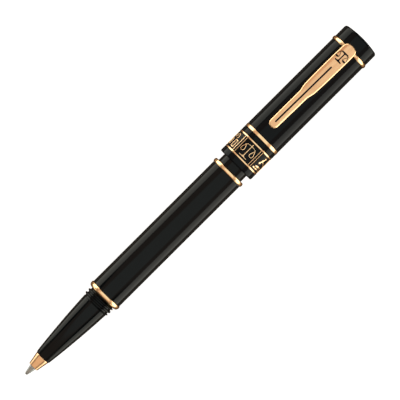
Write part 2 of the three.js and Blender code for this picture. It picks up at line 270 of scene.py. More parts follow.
class Nodes:
    """A material's node tree, with short names for the links that it needs."""

    def __init__(self, name):
        self.material = bpy.data.materials.new(name)
        self.material.use_nodes = True
        self.tree = self.material.node_tree
        self.shader = self.tree.nodes["Principled BSDF"]

    def feed(self, socket, value):
        """Links another node's output to a socket, or gives the socket a constant."""
        if hasattr(value, "is_output"):
            self.tree.links.new(value, socket)
        else:
            socket.default_value = value

    def add(self, kind, **inputs):
        node = self.tree.nodes.new(kind)
        for key, value in inputs.items():
            self.feed(node.inputs[key.replace("_", " ").title()], value)
        return node

    def coordinates(self, stretch):
        """Object coordinates, scaled along the pen or across it."""
        where = self.tree.nodes.new("ShaderNodeTexCoord").outputs["Object"]
        return self.add("ShaderNodeMapping", Vector=where, Scale=stretch).outputs["Vector"]

    def noise(self, scale, detail=3.0, stretch=(1, 1, 1), roughness=0.5):
        found = self.add("ShaderNodeTexNoise", Vector=self.coordinates(stretch), Scale=scale,
                         Detail=detail, Roughness=roughness)
        return found.outputs["Fac"]

    def ramp(self, value, low, high):
        """Blends between two (position, colour) stops."""
        node = self.add("ShaderNodeValToRGB", Fac=value)
        for stop, (position, colour) in zip(node.color_ramp.elements, (low, high)):
            stop.position, stop.color = position, (*colour, 1)
        return node.outputs["Color"]

    def spread(self, value, low, high):
        """Maps 0.3 to 0.7 of a noise onto a range."""
        node = self.add("ShaderNodeMapRange", Value=value, From_Min=0.3, From_Max=0.7,
                        To_Min=low, To_Max=high)
        return node.outputs["Result"]

    def bump(self, value, strength, distance_mm):
        node = self.add("ShaderNodeBump", Height=value, Strength=strength, Distance=distance_mm * MM)
        return node.outputs["Normal"]

    def set(self, **inputs):
        """Gives the shader its inputs. It returns the finished material."""
        for key, value in inputs.items():
            self.feed(self.shader.inputs[key.replace("_", " ")], value)
        return self.material


def resin(name, ior, dark, light):
    """Polished black resin: a deep gloss with the faint unevenness that buffing leaves."""
    m = Nodes(name)
    colour = m.ramp(m.noise(160, 4), (0.35, dark), (0.65, light))
    rough = m.spread(m.noise(420, 4, (0.25, 1, 1)), 0.07, 0.12)
    buffed = m.bump(m.noise(260, 2, (0.12, 1, 1)), 0.2, 0.004)
    return m.set(Base_Color=colour, Roughness=rough, IOR=ior, Normal=buffed)


def polished_gold(name, dark, light, rough):
    """Plated rose gold with hairline polishing marks that run round the turned pieces."""
    m = Nodes(name)
    colour = m.ramp(m.noise(500, 3), (0.3, dark), (0.7, light))
    hairlines = m.noise(1400, 3, (6, 0.4, 0.4), 0.6)
    return m.set(Base_Color=colour, Metallic=1.0, Roughness=m.spread(m.noise(900, 3), *rough),
                 Specular_Tint=(1.0, 0.62, 0.40, 1), Normal=m.bump(hairlines, 0.12, 0.004))


def satin_gold():
    """The clip's face: rose gold brushed along its length."""
    m = Nodes("satin_rose_gold")
    colour = m.ramp(m.noise(900, 4, (0.2, 1, 1)), (0.3, (0.71, 0.385, 0.205)), (0.7, (0.84, 0.505, 0.285)))
    brushed = m.noise(5200, 4, (0.035, 1, 1), 0.65)
    return m.set(Base_Color=colour, Metallic=1.0, Roughness=m.spread(brushed, 0.16, 0.27),
                 Normal=m.bump(brushed, 0.3, 0.005))


def enamel():
    """Black lacquer run into the engraving, glossy with a slight orange peel."""
    m = Nodes("black_enamel")
    colour = m.ramp(m.noise(700, 2), (0.3, (0.0012, 0.0014, 0.0018)), (0.7, (0.0028, 0.0030, 0.0036)))
    return m.set(Base_Color=colour, Roughness=m.spread(m.noise(800, 2), 0.12, 0.22), IOR=1.2,
                 Normal=m.bump(m.noise(1500, 2), 0.3, 0.004))


def turned_metal(name, dark, light, rough):
    """Bare metal with the fine feed marks that a lathe leaves round it."""
    m = Nodes(name)
    feed = m.noise(1800, 3, (8, 0.3, 0.3), 0.6)
    colour = m.ramp(m.noise(600, 3), (0.3, dark), (0.7, light))
    return m.set(Base_Color=colour, Metallic=1.0, Roughness=m.spread(feed, *rough),
                 Normal=m.bump(feed, 0.3, 0.006))


def moulded(name, dark, light, rough, grain_mm=0.01):
    """Moulded plastic or rubber with a fine matt grain."""
    m = Nodes(name)
    grain = m.noise(2600, 4)
    colour = m.ramp(m.noise(400, 3), (0.3, dark), (0.7, light))
    return m.set(Base_Color=colour, Roughness=m.spread(grain, *rough), Normal=m.bump(grain, 0.5, grain_mm))


def wicking_fibre():
    """Bundled ink fibre, streaked along its length."""
    m = Nodes("ink_fibre")
    streaks = m.noise(2200, 5, (0.02, 1, 1), 0.7)
    colour = m.ramp(streaks, (0.35, (0.006, 0.008, 0.02)), (0.7, (0.03, 0.035, 0.06)))
    return m.set(Base_Color=colour, Roughness=m.spread(streaks, 0.75, 0.95),
                 Normal=m.bump(streaks, 0.8, 0.05))


RESIN = resin("cap_resin", 1.215, (0.0002, 0.0010, 0.0020), (0.0004, 0.0015, 0.0028))
BARREL_RESIN = resin("barrel_resin", 1.25, (0.0006, 0.0012, 0.0018), (0.0010, 0.0018, 0.0025))
GOLD = polished_gold("rose_gold", (0.90, 0.60, 0.34), (0.95, 0.66, 0.39), (0.17, 0.23))
NOSE_GOLD = polished_gold("nose_rose_gold", (0.82, 0.54, 0.31), (0.90, 0.61, 0.36), (0.12, 0.20))
SATIN = satin_gold()
ENAMEL = enamel()
BRASS = turned_metal("brass", (0.66, 0.46, 0.20), (0.80, 0.60, 0.30), (0.18, 0.30))
STEEL = turned_metal("steel", (0.50, 0.50, 0.47), (0.62, 0.62, 0.59), (0.20, 0.32))
POINT_STEEL = turned_metal("point_steel", (0.31, 0.335, 0.34), (0.43, 0.46, 0.465), (0.26, 0.38))
PLASTIC = moulded("black_plastic", (0.016, 0.016, 0.018), (0.030, 0.030, 0.033), (0.38, 0.55))
RUBBER = moulded("seal_rubber", (0.010, 0.010, 0.010), (0.022, 0.022, 0.022), (0.6, 0.8), 0.02)
FIBRE = wicking_fibre()


# ---------------- cap


STUD_HOLE_R = 2.05  # the stud's hole through the finial, the clip ring, the tube's end wall and the liner
BAND_BORE_R = 7.0
CAP_PITCH = 1.5  # of the screw thread between the cap and the grip


def cap_finial():
    """The domed end, with the slot that the clip's tang goes down."""
    low, high, r = span("cap_finial")
    hole_end = span("finial_screw")[1] + 0.2
    sag, corner = 0.8, 0.75
    dome = (r * r + sag * sag) / (2 * sag)
    across = [r * k / 8 for k in range(7)]
    piece = turned("finial_dome", [
        *((high - dome + math.sqrt(dome * dome - at * at), at) for at in across), (high - sag, r, corner),
        (low, r, 0.12), (low, STUD_HOLE_R, 0.1), (hole_end, STUD_HOLE_R), (hole_end, 0),
    ], RESIN)
    cut_slot(piece, (TANG_FROM - 2, -TANG_HALF - 0.2, 4.6), (TANG_TO + 0.2, TANG_HALF + 0.2, 9))
    place(piece, "cap", "cap_finial")


def cut_slot(piece, low, high):
    """Cuts a box, in millimetres about the pen's axis, out of a piece."""
    cutter = mesh_object("cutter", *box(low, high), RESIN)
    change = piece.modifiers.new("slot", "BOOLEAN")
    change.operation, change.solver, change.object = "DIFFERENCE", "EXACT", cutter
    bpy.context.view_layer.update()
    cut = bpy.data.meshes.new_from_object(piece.evaluated_get(bpy.context.evaluated_depsgraph_get()))
    piece.modifiers.clear()
    piece.data = cut
    piece.data.set_sharp_from_angle(angle=SMOOTH_UNDER)
    bpy.data.objects.remove(cutter)


def finial_screw():
    """The brass stud, with a screwdriver's slot in its head."""
    low, high, r = span("finial_screw")
    head, shank, pitch = low + 1.2, 2.0, 0.45
    root = shank - 0.18
    thread = screw_thread(head + 3, high - 0.3, root, shank - 0.02, pitch, 0.4)
    piece = turned("finial_stud", [
        (low, 0), (low, r, 0.25), (head, r, 0.12), (head, shank), (head + 2.6, shank, 0.1),
        *even_steps(head + 2.8, high - 0.3, root, 0.07), (high, shank - 0.4), (high, 0),
    ], BRASS, SMALL_SIDES, thread)
    cut_slot(piece, (low - 1, -r - 1, -0.5), (low + 0.6, r + 1, 0.5))
    place(piece, "cap", "finial_screw")


def rounded_ring(name, node, body, edge_low, edge_high, bore, peak=0.5, fullness=0.62, stretch=0.0):
    """A ring with an arched skin between two edge radii. Its peak is at a share of its width."""
    low, high, r = span(node)
    high += stretch
    steps = 18
    skin = []
    for k in range(steps + 1):
        t = k / steps
        edge, share = (edge_low, 1 - t / peak) if t < peak else (edge_high, (t - peak) / (1 - peak))
        arch = max(1 - share ** 2.3, 0) ** fullness
        skin.append((low + (high - low) * t, edge + (r - edge) * arch))
    piece = turned(name, [(low, bore, 0.08), *skin, (high, bore, 0.08)], GOLD)
    place(piece, body, node)


def clip_ring():
    edge = span("cap_tube")[2] - 0.12
    rounded_ring("clip_ring_gold", "clip_ring", "cap", edge, edge, STUD_HOLE_R)


def cap_tube():
    """The tube, with the step at its mouth that carries the bands and a wall at its closed end."""
    low, high, r = span("cap_tube")
    seat_end = span("cap_band_upper")[1] + 0.02
    seat, bore = BAND_BORE_R - 0.05, 6.25
    inner_end = span("cap_liner")[1] + 0.05
    piece = turned("cap_tube_resin", [
        (low, bore, 0.1), (inner_end, bore, 0.1), (inner_end, STUD_HOLE_R), (high, STUD_HOLE_R, 0.1),
        (high, r, 0.12), (seat_end, r, 0.1), (seat_end, seat), (low, seat, 0.1),
    ], RESIN)
    place(piece, "cap", "cap_tube")


def flat_band(name, node, material, edge, groove=0.0):
    """A band pressed on the seat, with softened edges, and a hairline groove by each edge if asked."""
    low, high, r = span(node)
    corners = [(low, BAND_BORE_R), (low, r, edge)]
    if groove:
        for at in (low + 0.32, high - 0.42):
            corners += [(at, r), (at + 0.03, r - groove), (at + 0.08, r - groove), (at + 0.11, r)]
    corners += [(high, r, edge), (high, BAND_BORE_R)]
    place(turned(name, corners, material), "cap", node)


def cap_lip():
    """The mouth ring with its inner sleeve, which carries the cap's thread."""
    low, high, r = span("cap_lip")
    shoulder = span("band_ring_lower")[0] - 0.02
    sleeve_r, crest = 6.2, 5.66
    root = crest + 0.32
    first, last = low + 0.7, low + 5.4
    thread = screw_thread(first, last, root, crest, CAP_PITCH, 0.5)
    piece = turned("cap_lip_resin", [
        (low, crest + 0.62, 0.2), (first, root), *even_steps(first + 0.1, last - 0.1, root, 0.09),
        (last, root), (last + 0.3, crest), (high, crest, 0.1), (high, sleeve_r, 0.1), (shoulder, sleeve_r),
        (shoulder, r, 0.1), (low, r, 0.55),
    ], RESIN, SIDES, thread)
    place(piece, "cap", "cap_lip")


def cap_liner():
    """The inner cap, a cup with the stud's hole through its floor."""
    low, high, r = span("cap_liner")
    bore, floor = 5.66, high - 2
    piece = turned("cap_liner_cup", [
        (low, bore, 0.15), (floor, bore, 0.4), (floor, STUD_HOLE_R), (high, STUD_HOLE_R),
        (high, r, 0.3), (low, r, 0.1),
    ], PLASTIC)
    place(piece, "cap", "cap_liner")


# ---------------- engraved band


GROUND_DROP = 0.09  # how far the lacquered ground lies under the relief
LINE_TURNS = (31, 90, 149, 211, 270, 329)  # the middles of the pairs of lines between the panels
PANEL_TURNS = [(a + b) / 2 for a, b in zip((LINE_TURNS[-1] - 360, *LINE_TURNS), LINE_TURNS)]
LINE_SPREAD = 3.8  # from the middle of a pair to each of its lines

# A raised line's section, as (share of its width, depth under the band's skin).
RIBBON_SECTION = ((-0.5, GROUND_DROP), (-0.44, 0.035), (-0.26, 0.008), (0.26, 0.008), (0.44, 0.035),
                  (0.5, GROUND_DROP))


def wrapped(part, r, turn):
    """Wraps points of (across, along, depth under the skin) round the band, at a turn in degrees."""
    flat, faces = part
    points = []
    for s, x, depth in flat:
        angle = math.radians(turn) + s / r
        points.append((x, (r - depth) * math.sin(angle), (r - depth) * math.cos(angle)))
    return points, faces


def resampled(points):
    """The same path with points close enough to follow the band's curve."""
    fine, step = [], 0.12
    for a, b in zip(points, points[1:]):
        count = max(1, math.ceil(math.dist(a, b) / step))
        fine += [tuple(np.array(a) + (np.array(b) - np.array(a)) * k / count) for k in range(count)]
    return fine + [points[-1]]


def flowing(points, closed=False):
    """A smooth path through a few points."""
    control = [np.array(p, float) for p in points]
    before, after = ([control[-1]], control[:2]) if closed else ([control[0]], [control[-1]])
    control = [*before, *control, *after]
    path, steps = [], 5
    for a, b, c, d in zip(control, control[1:], control[2:], control[3:]):
        for k in range(steps):
            t = k / steps
            path.append(tuple(0.5 * (2 * b + (c - a) * t + (2 * a - 5 * b + 4 * c - d) * t * t
                                     + (3 * b - a - 3 * c + d) * t ** 3)))
    return path + [tuple(control[-2])]


def ribbon(path, width, closed=False):
    """A raised line that follows a path on the band. Its width is one number, or one for each end."""
    path = [np.array(p, float) for p in (path[:-1] if closed else resampled(path))]
    count = len(path)
    widths = np.linspace(*(width if isinstance(width, tuple) else (width, width)), count)
    points = []
    for i, p in enumerate(path):
        before = path[i - 1] if closed or i else path[0]
        after = path[(i + 1) % count] if closed or i < count - 1 else path[-1]
        along = (after - before) / max(np.linalg.norm(after - before), 1e-9)
        across = np.array([along[1], -along[0]])
        points += [(*(p + across * share * widths[i]), depth) for share, depth in RIBBON_SECTION]
    return points, tube_faces(count, len(RIBBON_SECTION), closed)


def boss(outline):
    """A raised solid figure with bevelled sides, from a closed outline that bulges outwards."""
    outline = [np.array(p, float) for p in resampled([*outline, outline[0]])[:-1]]
    middle = sum(outline) / len(outline)
    levels = ((0.0, GROUND_DROP), (0.03, 0.03), (0.07, 0.0))
    points = []
    for inset, depth in levels:
        for p in outline:
            inward = (middle - p) / max(np.linalg.norm(middle - p), 1e-9)
            points.append((*(p + inward * inset), depth))
    points.append((*middle, 0.0))
    return points, dome_faces(len(levels), len(outline))


def disc(s, x, radius):
    """A small raised round spot."""
    return boss([(s + radius * math.cos(a), x + radius * math.sin(a))
                 for a in np.linspace(0, 2 * math.pi, 12, endpoint=False)])


def scales_figure(low, high):
    """A pair of scales: a pillar on a foot, two curved arms, and a drop-shaped pan on each."""
    base, top = low + 0.72, high - 0.48
    arm = top - 0.78
    parts = [
        ribbon([(0, top), (0, base)], (0.24, 0.32)),
        ribbon([(-1.65, base), (1.65, base)], 0.25),
        ribbon([(-0.5, base + 0.24), (0.5, base + 0.24)], 0.26),
        disc(0, top - 0.08, 0.2),
        disc(0, arm, 0.25),
    ]
    for side in (-1, 1):
        hook = 2.08 * side
        reach = flowing([(0.1 * side, arm - 0.05), (0.7 * side, arm + 0.02), (1.35 * side, arm - 0.04),
                         (1.85 * side, arm - 0.22), (hook, arm - 0.66)])
        pan = flowing([(hook, arm - 0.55), (1.70 * side, arm - 1.35), (1.38 * side, arm - 2.3),
                       (1.48 * side, arm - 2.93), (hook, arm - 3.22), (2.68 * side, arm - 2.93),
                       (2.78 * side, arm - 2.3), (2.46 * side, arm - 1.35)], closed=True)
        parts += [ribbon(reach, (0.21, 0.18)), ribbon(pan, 0.21, closed=True)]
    return parts


def gavel_figure(low, high):
    """A gavel leaning over its sound block."""
    head = ((0.0, high - 0.85), (0.62, high - 2.1), (1.24, high - 3.35))
    grip_end = (-1.9, low + 3.35)
    dome = [(1.95 * math.cos(a), low + 1.5 + 0.7 * math.sin(a)) for a in np.linspace(0, math.pi, 9)]
    return [
        boss(slab(head[0], head[2], 0.48)),
        *(disc(*spot, 0.42) for spot in head),
        ribbon([head[1], grip_end], (0.36, 0.26)),
        disc(*grip_end, 0.28),
        boss(dome),
        boss(slab((-2.5, low + 0.85), (2.5, low + 0.85), 0.5)),
    ]


def court_figure(low, high):
    """A courthouse: a pediment over two broad pillars, each with three bosses down its middle."""
    eaves, foot, top = high - 2.35, low + 0.72, low + 3.5
    roof = flowing([(-1.15, eaves), (-0.8, high - 1.2), (0, high - 0.62), (0.8, high - 1.2), (1.15, eaves)])
    parts = [ribbon(roof, 0.27), ribbon([(-1.3, eaves - 0.1), (1.3, eaves - 0.1)], 0.26),
             disc(0, high - 1.65, 0.2)]
    for side in (-1, 1):
        near, far = 0.95 * side, 2.4 * side
        frame = [(near, foot), (far, foot), (far, top), (near, top), (near, foot)]
        parts += [ribbon(pair, 0.26) for pair in zip(frame, frame[1:])]
        parts += [disc((near + far) / 2, foot + 0.62 + 0.78 * k, 0.11) for k in range(3)]
    return parts


def centre_band():
    """A lacquered sleeve with gold relief: six panels between pairs of lines."""
    low, high, r = span("centre_band")
    ground_r = r - GROUND_DROP
    ground = turned("centre_band_lacquer", [
        (low, BAND_BORE_R), (low, ground_r, 0.04), (high, ground_r, 0.04), (high, BAND_BORE_R),
    ], ENAMEL)
    place(ground, "cap", "centre_band")
    figures = [scales_figure(low, high), court_figure(low, high), gavel_figure(low, high)]
    parts = []
    for middle in LINE_TURNS:
        for turn in (middle - LINE_SPREAD, middle + LINE_SPREAD):
            parts.append(wrapped(ribbon([(0, low), (0, high)], 0.22), r, turn))
    for k, turn in enumerate(PANEL_TURNS):
        parts += [wrapped(part, r, turn) for part in figures[k % len(figures)]]
    place(joined("centre_band_relief", parts, GOLD), "cap", None)


# ---------------- clip


CLIP_LOW, CLIP_HIGH = (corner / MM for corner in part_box("clip"))
CLIP_BOTTOM, CLIP_TOP = CLIP_LOW.z - AXIS_Z, CLIP_HIGH.z - AXIS_Z
CLIP_TIP, CLIP_HEAD = CLIP_LOW.x, CLIP_HIGH.x - 0.5  # the head stops a little short of the frame's
CLIP_THICK = 1.05
CLIP_HALF_WIDE, CLIP_HALF_BULGE = 2.50, 2.78
CLIP_HALF_NARROW, CLIP_TIP_R = 1.95, 1.82
CLIP_BOW_R = 6.5  # the face is bowed across to this radius
CLIP_ROOT = 8.05  # height of the underside where it stands over the clip ring
SHOULDER_FROM, SHOULDER_TO = CLIP_TIP + 16.4, CLIP_TIP + 19.6
BULGE_AT, BULGE_REACH = CLIP_TIP + 32, 14
TIP_BEND = 7
HEAD_ROUND, HEAD_SQUARENESS, HEAD_BEND, HEAD_DROP = 2.3, 2.25, 4.0, 0.7
TANG_FROM, TANG_TO, TANG_HALF = CLIP_HEAD - 0.85, CLIP_HEAD - 0.30, 1.5
LINE_FROM, LINE_TO, LINE_HALF = CLIP_TIP + 2.35, CLIP_HEAD - 10.55, 0.31
INLAY_PROUD, INLAY_DEEP = 0.012, 0.06
CLIP_ASKEW, CLIP_STRAIGHT_AT = -0.0117, 62  # the clip sits a little askew on the cap

# The polished border, as (distance in from the edge, drop under the face): a bevel, a ridge and a step.
CLIP_BORDER = ((0.0, 0.34), (0.04, 0.24), (0.11, 0.15), (0.20, 0.07), (0.28, 0.02), (0.33, 0.0),
               (0.38, 0.0), (0.45, 0.06))
FACE_DROP = CLIP_BORDER[-1][1]
FACE_LANES = 8


def clip_half_width(x):
    """Half the clip's width as seen from above."""
    narrow = CLIP_TIP_R + (CLIP_HALF_NARROW - CLIP_TIP_R) * (x - CLIP_TIP) / (SHOULDER_FROM - CLIP_TIP)
    rise = np.clip((x - SHOULDER_FROM) / (SHOULDER_TO - SHOULDER_FROM), 0, 1)
    shoulder = np.sin(rise * math.pi / 2) ** 1.25
    bulge = (CLIP_HALF_BULGE - CLIP_HALF_WIDE) * np.clip(1 - ((x - BULGE_AT) / BULGE_REACH) ** 2, 0, 1)
    half = narrow + (CLIP_HALF_WIDE + bulge - narrow) * shoulder
    from_tip = np.clip((x - CLIP_TIP) / CLIP_TIP_R, 0, 1)
    half = half * np.sqrt(1 - (1 - from_tip) ** 2)
    from_head = np.clip((CLIP_HEAD - x) / HEAD_ROUND, 0, 1)
    return half * (1 - (1 - from_head) ** HEAD_SQUARENESS) ** (1 / HEAD_SQUARENESS)


def over_tip(x):
    """From 0 where the clip's tip begins to bend down to 1 at its very end."""
    return np.clip((CLIP_TIP + TIP_BEND - x) / TIP_BEND, 0, 1)


def clip_face(x, y=0.0):
    """Height of the clip's face over the pen's axis."""
    tip_drop = 0.36 * over_tip(x) ** 2
    head_drop = HEAD_DROP * np.clip((x - CLIP_HEAD + HEAD_BEND) / HEAD_BEND, 0, 1) ** 2
    return CLIP_TOP - tip_drop - head_drop - y * y / (2 * CLIP_BOW_R)


def brushed_height(x, y):
    """Height of the brushed face inside the polished border."""
    return clip_face(x, y) - FACE_DROP


def clip_underside(x):
    """Height of the clip's back, which comes down to the ring at its head."""
    back = CLIP_TOP - CLIP_THICK - 0.22 * over_tip(x) ** 2
    near = smoothstep((x - (CLIP_HEAD - 8.0)) / 5.0)
    return back + (CLIP_ROOT - back) * near


def clip_stations():
    """Places along the clip, closer together round its ends and its shoulder."""
    tip = CLIP_TIP + CLIP_TIP_R * (1 - np.cos(np.linspace(0, math.pi / 2, 16)))
    shaft = np.linspace(CLIP_TIP + CLIP_TIP_R, SHOULDER_FROM, 30)[1:]
    shoulder = np.linspace(SHOULDER_FROM, SHOULDER_TO, 16)[1:]
    wide = np.linspace(SHOULDER_TO, CLIP_HEAD - HEAD_ROUND, 40)[1:]
    head = CLIP_HEAD - HEAD_ROUND * (1 - np.sin(np.linspace(0, math.pi / 2, 24)))[1:]
    return np.concatenate([tip, shaft, shoulder, wide, head])


def clip_outline(inset):
    """The clip's edge seen from above, drawn in by an even inset: out along +Y and back along -Y."""
    x = clip_stations()
    edge = np.stack([x, clip_half_width(x)], 1)
    whole = np.concatenate([edge, (edge * (1, -1))[-2:0:-1]])
    along = np.roll(whole, -1, 0) - np.roll(whole, 1, 0)
    along /= np.linalg.norm(along, axis=1)[:, None]
    return whole + np.stack([along[:, 1], -along[:, 0]], 1) * inset


def clip_ring_points(inset, height):
    """The clip's edge drawn in by an inset, at the height that a function of (x, y) gives."""
    drawn = clip_outline(inset)
    return np.column_stack([drawn, height(drawn[:, 0], drawn[:, 1])])


def row_faces(rows):
    """Quads between neighbouring rows, with triangles where the first or the last is one point."""
    faces = []
    for a, b in zip(rows, rows[1:]):
        if len(a) == 1:
            faces += [(a[0], b[i], b[i + 1]) for i in range(len(b) - 1)]
        elif len(b) == 1:
            faces += [(a[i], a[i + 1], b[0]) for i in range(len(a) - 1)]
        else:
            faces += [(a[i], a[i + 1], b[i + 1], b[i]) for i in range(len(a) - 1)]
    return faces


def filled_ring(ring, first, start, lanes=1, height=None):
    """The faces that fill a ring in lanes, between its +Y and -Y halves, and the points between them.

    The ring's own points are numbered from first, and the ones between them from start.
    """
    count = len(ring)
    stations = count // 2 + 1
    points, rows = [], []
    for k in range(stations):
        left, right = ring[k], ring[-k % count]
        row = [first + k]
        if 0 < k < stations - 1:
            for lane in range(1, lanes):
                x, y = left[:2] + (right[:2] - left[:2]) * lane / lanes
                row.append(start + len(points))
                points.append((x, y, height(x, y)))
            row.append(first + count - k)
        rows.append(row)
    return row_faces(rows), points


def clip_body():
    """The clip as one shell: its back, its side, the polished border and the brushed face inside it."""
    rings = [clip_ring_points(0.10, lambda x, y: clip_underside(x)),
             clip_ring_points(0.0, lambda x, y: clip_underside(x) + 0.08)]
    rings += [clip_ring_points(inset, lambda x, y: clip_face(x, y) - drop) for inset, drop in CLIP_BORDER]
    count = len(rings[0])
    vertices = [tuple(point) for ring in rings for point in ring]
    back, _ = filled_ring(rings[0], 0, 0)
    polished = quads_between(len(rings), count) + back
    brushed, between = filled_ring(rings[-1], (len(rings) - 1) * count, len(vertices), FACE_LANES,
                                   brushed_height)
    piece = mesh_object("clip_gold", vertices + between, polished + brushed, GOLD)
    piece.data.materials.append(SATIN)
    for polygon in piece.data.polygons[len(polished):]:
        polygon.material_index = 1
    return piece


def clip_foot():
    """The rounded foot under the clip's tip, which presses on the cap."""
    x, r = CLIP_TIP + CLIP_TIP_R + 0.4, 1.5
    top = CLIP_TOP - CLIP_THICK + 0.2
    bottom = span("cap_tube")[2] + 0.05
    rows, around = 12, 40
    vertices = []
    for k in range(rows):
        a = math.pi / 2 * k / rows
        z = top - (top - bottom) * math.sin(a)
        vertices += [(x + r * math.cos(a) * math.cos(t), r * math.cos(a) * math.sin(t), z)
                     for t in np.linspace(0, 2 * math.pi, around, endpoint=False)]
    return mesh_object("clip_foot", [*vertices, (x, 0, bottom)], dome_faces(rows, around), GOLD)


def inlay(parts, name):
    """Black enamel figures let into the brushed face. Each is a closed outline in (x, y).

    The outlines are cut into small pieces so that they follow the bends of the face.
    """
    flat = bmesh.new()
    for outline in parts:
        flat.faces.new([flat.verts.new((x, y, 0)) for x, y in outline])
    cuts = [((0, y, 0), (0, 1, 0)) for y in np.arange(-2.6, 2.7, 0.26)]
    cuts += [((x, 0, 0), (1, 0, 0)) for x in np.arange(CLIP_HEAD - 8, CLIP_HEAD - 3, 0.5)]
    for where, normal in cuts:
        everything = flat.verts[:] + flat.edges[:] + flat.faces[:]
        bmesh.ops.bisect_plane(flat, geom=everything, plane_co=where, plane_no=normal)
    flat.verts.index_update()
    spots = [(vertex.co.x, vertex.co.y) for vertex in flat.verts]
    top = [[vertex.index for vertex in face.verts] for face in flat.faces]
    rims = [[vertex.index for vertex in edge.verts] for edge in flat.edges if edge.is_boundary]
    flat.free()
    count = len(spots)
    vertices = [(*spot, brushed_height(*spot) + up) for up in (INLAY_PROUD, -INLAY_DEEP) for spot in spots]
    back = [[i + count for i in face] for face in top]
    sides = [(a, b, b + count, a + count) for a, b in rims]
    return mesh_object(name, vertices, top + back + sides, ENAMEL)


def strokes(points, width):
    """The outlines of straight strokes from each point to the next."""
    return [slab(a, b, width) for a, b in zip(points, points[1:])]


def clip_emblem():
    """Scales in black enamel, standing on the clip with the top towards its head."""
    top, base = CLIP_HEAD - 3.62, CLIP_HEAD - 7.60
    parts = [
        slab((base, 0), (top, 0), 0.46),
        slab((base, -1.36), (base, 1.36), 0.54),
        slab((base + 0.32, -0.5), (base + 0.32, 0.5), 0.4),
        slab((top - 0.27, -1.4), (top - 0.27, 1.4), 0.58),
        slab((top - 0.32, -0.45), (top - 0.32, 0.45), 0.70),
    ]
    for side in (-1, 1):
        beam_end = (top - 0.55, 1.72 * side)
        pan_ends = ((base + 1.62, 0.80 * side), (base + 1.48, 2.46 * side))
        parts += strokes([(top - 0.3, 1.25 * side), (top - 0.38, 1.5 * side), beam_end], 0.36)
        parts += [slab(beam_end, end, 0.22) for end in pan_ends]
        parts.append([pan_ends[0], (base + 1.16, 0.90 * side), (base + 0.90, 1.25 * side),
                      (base + 0.82, 1.75 * side), (base + 0.93, 2.22 * side), pan_ends[1]])
    return inlay(parts, "clip_emblem")


def clip_line():
    """The long enamel line down the clip, with round ends."""
    rounding = np.linspace(0, math.pi / 2, 6)
    stations = np.concatenate([
        LINE_FROM + LINE_HALF * (1 - np.cos(rounding)),
        np.linspace(LINE_FROM + LINE_HALF, LINE_TO - LINE_HALF, 60)[1:-1],
        LINE_TO - LINE_HALF + LINE_HALF * np.sin(rounding)])
    vertices = []
    for x in stations:
        from_end = min(x - LINE_FROM, LINE_TO - x, LINE_HALF) / LINE_HALF
        y = LINE_HALF * math.sqrt(max(1 - (1 - from_end) ** 2, 0.0004))
        low, high = brushed_height(x, y) - INLAY_DEEP, brushed_height(x, y) + INLAY_PROUD
        vertices += [(x, -y, low), (x, -y, high), (x, y, high), (x, y, low)]
    return mesh_object("clip_enamel_line", vertices, tube_faces(len(stations), 4), ENAMEL)


def askew(piece):
    """Turns a piece of the clip by the little that the clip sits askew."""
    for vertex in piece.data.vertices:
        vertex.co.y += (vertex.co.x - CLIP_STRAIGHT_AT * MM) * CLIP_ASKEW
    return piece


def clip():
    """The clip's body, with its tang, its foot and the enamel in its face."""
    place(askew(clip_body()), "clip", "clip")
    tang_box = box((TANG_FROM, -TANG_HALF, CLIP_BOTTOM), (TANG_TO, TANG_HALF, CLIP_ROOT + 0.4))
    tang = mesh_object("clip_tang", *tang_box, GOLD, bevel=0.12)
    for piece in (tang, clip_foot()):
        place(askew(piece), "clip", None)
    for piece in (clip_emblem(), clip_line()):
        place(askew(piece), "clip", None)


# ---------------- barrel


SECTION_PITCH = 0.75  # of the screw between the section and the barrel


def barrel_tube():
    """The tube, with a narrower bore at its rear end for the tail's spigot."""
    low, high, r = span("barrel_tube")
    bore, end_bore = 5.45, 4.85
    collar = span("barrel_tail")[0]
    piece = turned("barrel_tube_resin", [
        (low, bore), (collar - 0.6, bore, 0.2), (collar, end_bore, 0.2), (high, end_bore, 0.1),
        (high, r, 0.1), (low, r, 0.1),
    ], BARREL_RESIN)
    place(piece, "barrel", "barrel_tube")


def barrel_rings():
    """A plain arched ring at the rear, and one at the front that slopes down to the grip."""
    rounded_ring("barrel_rear_ring_gold", "barrel_rear_ring", "barrel", 6.5, 6.42, 4.86)
    rounded_ring("barrel_front_ring_gold", "barrel_front_ring", "barrel", 5.9, 6.5, 5.6, 0.68, stretch=0.12)


def barrel_tail():
    """The hollow tail, with its spigot in the tube and the groove for the posting ring."""
    low, high, base = span("barrel_tail")
    shoulder = span("barrel_rear_ring")[1] + 0.02
    ring_low, ring_high, _ = span("posting_ring")
    groove_low, groove_high, groove_r = ring_low - 0.1, ring_high + 0.1, 4.75
    end, bore, spigot, floor = 5.45, 3.6, 4.8, high - 1.7
    piece = turned("barrel_tail_resin", [
        (low, bore, 0.2), (floor, bore, 0.5), (floor, 0), (high, 0), (high, end - 0.9, 0.5),
        (high - 0.9, end, 0.5), (groove_high, end + 0.02, 0.12), (groove_high, groove_r, 0.1),
        (groove_low, groove_r, 0.1), (groove_low, end + 0.03, 0.12), (shoulder, base, 0.06),
        (shoulder, spigot, 0.1), (low, spigot, 0.2),
    ], BARREL_RESIN)
    place(piece, "barrel", "barrel_tail")


def posting_ring():
    """A rubber ring with a round section."""
    low, high, r = span("posting_ring")
    bore = 4.81
    middle_x, middle_r = (low + high) / 2, (bore + r) / 2
    section = [(middle_x + (high - low) / 2 * math.cos(a), middle_r + (r - bore) / 2 * math.sin(a))
               for a in np.linspace(0, 2 * math.pi, 20, endpoint=False)]
    piece = turned("posting_ring_rubber", section, RUBBER)
    place(piece, "posting_ring", "posting_ring")


